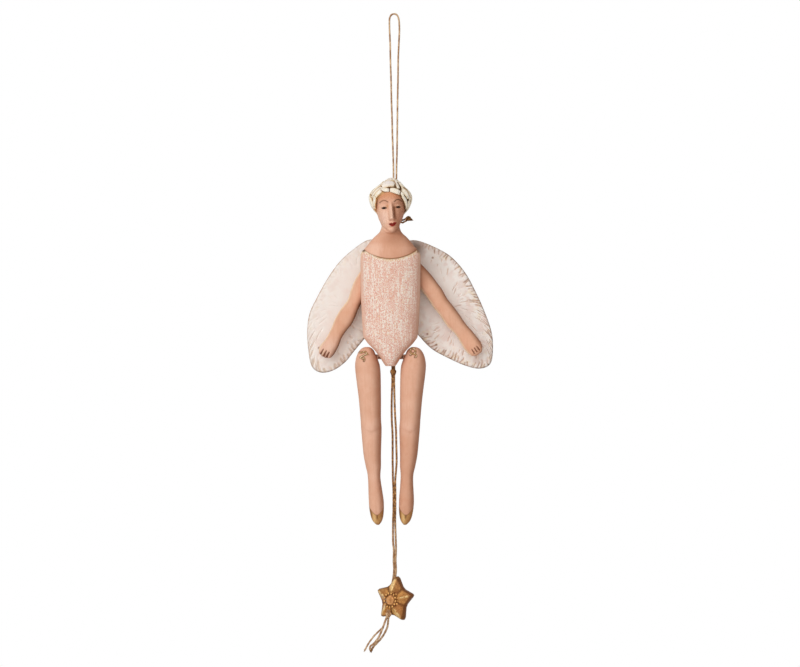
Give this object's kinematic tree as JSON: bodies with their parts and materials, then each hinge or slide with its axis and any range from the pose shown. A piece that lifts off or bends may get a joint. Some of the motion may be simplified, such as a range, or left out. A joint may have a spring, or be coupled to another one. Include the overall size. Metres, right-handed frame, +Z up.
{
  "type": "jumping jack puppet",
  "caption": "Painted winged jumping jack puppet that hangs from a twine loop; pulling the star on its cord swings the arms and legs outwards.",
  "frame": {"origin": "the point inside the top of the hanging loop where it lies on its hook", "axes": "+Z up along the hanging cord, -Y the way the face looks, +X to the viewer's right"},
  "size_m": [0.0939, 0.026, 0.3202],
  "materials": {
    "leotard": "rough streaked paint, pink under cream, matte",
    "flesh": "smooth matte flesh paint",
    "hair": "cream paint, brown in the hollows, satin",
    "wings": "warm white brushed paint, rubbed brown at the edges",
    "bare_wood": "plain sanded wood",
    "nails": "dull steel",
    "twine": "twisted natural twine with a gold sheen",
    "star_gold": "antique gold paint, darker in the hollows"
  },
  "bodies": {
    "figure": {"torso_front": "leotard", "bust": "flesh", "hair": "hair", "back_board": "bare_wood", "spacer_pegs": "bare_wood", "wing_left": "wings", "wing_right": "wings", "wing_nails": "nails", "shoulder_pin_left": "bare_wood", "shoulder_pin_right": "bare_wood", "hip_cord_left": "twine", "hip_cord_right": "twine", "hanging_loop": "twine", "loop_core": "twine", "nape_knot": "twine"},
    "left_arm": {"arm_left": "flesh"},
    "right_arm": {"arm_right": "flesh"},
    "left_leg": {"leg_left": "flesh"},
    "right_leg": {"leg_right": "flesh"},
    "pull": {"arm_string_left": "twine", "arm_string_right": "twine", "leg_string_left": "twine", "leg_string_right": "twine", "pull_knot": "twine", "pull_strand_left": "twine", "pull_strand_right": "twine", "star": "star_gold", "star_knot": "twine", "tail_long": "twine", "tail_left": "twine", "tail_right": "twine", "tail_knot": "twine"}
  },
  "joints": [
    {"name": "right_leg_swing", "type": "hinge", "parent": "figure", "child": "right_leg", "pos_m": [0.01, 0.0018, -0.1695], "axis": [0, -1, 0], "range_deg": [0, 60]},
    {"name": "left_leg_swing", "type": "hinge", "parent": "figure", "child": "left_leg", "pos_m": [-0.0135, 0.0018, -0.1695], "axis": [0, 1, 0], "range_deg": [0, 60]},
    {"name": "right_arm_swing", "type": "hinge", "parent": "figure", "child": "right_arm", "pos_m": [0.0095, 0.0044, -0.125], "axis": [0, -1, 0], "range_deg": [0, 90]},
    {"name": "left_arm_swing", "type": "hinge", "parent": "figure", "child": "left_arm", "pos_m": [-0.0105, 0.0044, -0.125], "axis": [0, 1, 0], "range_deg": [0, 90]},
    {"name": "pull_slide", "type": "slide", "parent": "figure", "child": "pull", "axis": [0, 0, -1], "range_m": [0, 0.008], "deforming": ["arm_string_left", "arm_string_right", "leg_string_left", "leg_string_right"]}
  ],
  "couplings": [
    {"joint": "left_leg_swing", "follows": "right_leg_swing", "ratio": 1},
    {"joint": "right_arm_swing", "follows": "right_leg_swing", "ratio": 1.5},
    {"joint": "left_arm_swing", "follows": "right_leg_swing", "ratio": 1.5},
    {"joint": "pull_slide", "follows": "right_leg_swing", "m_per_rad": 0.0076394}
  ]
}
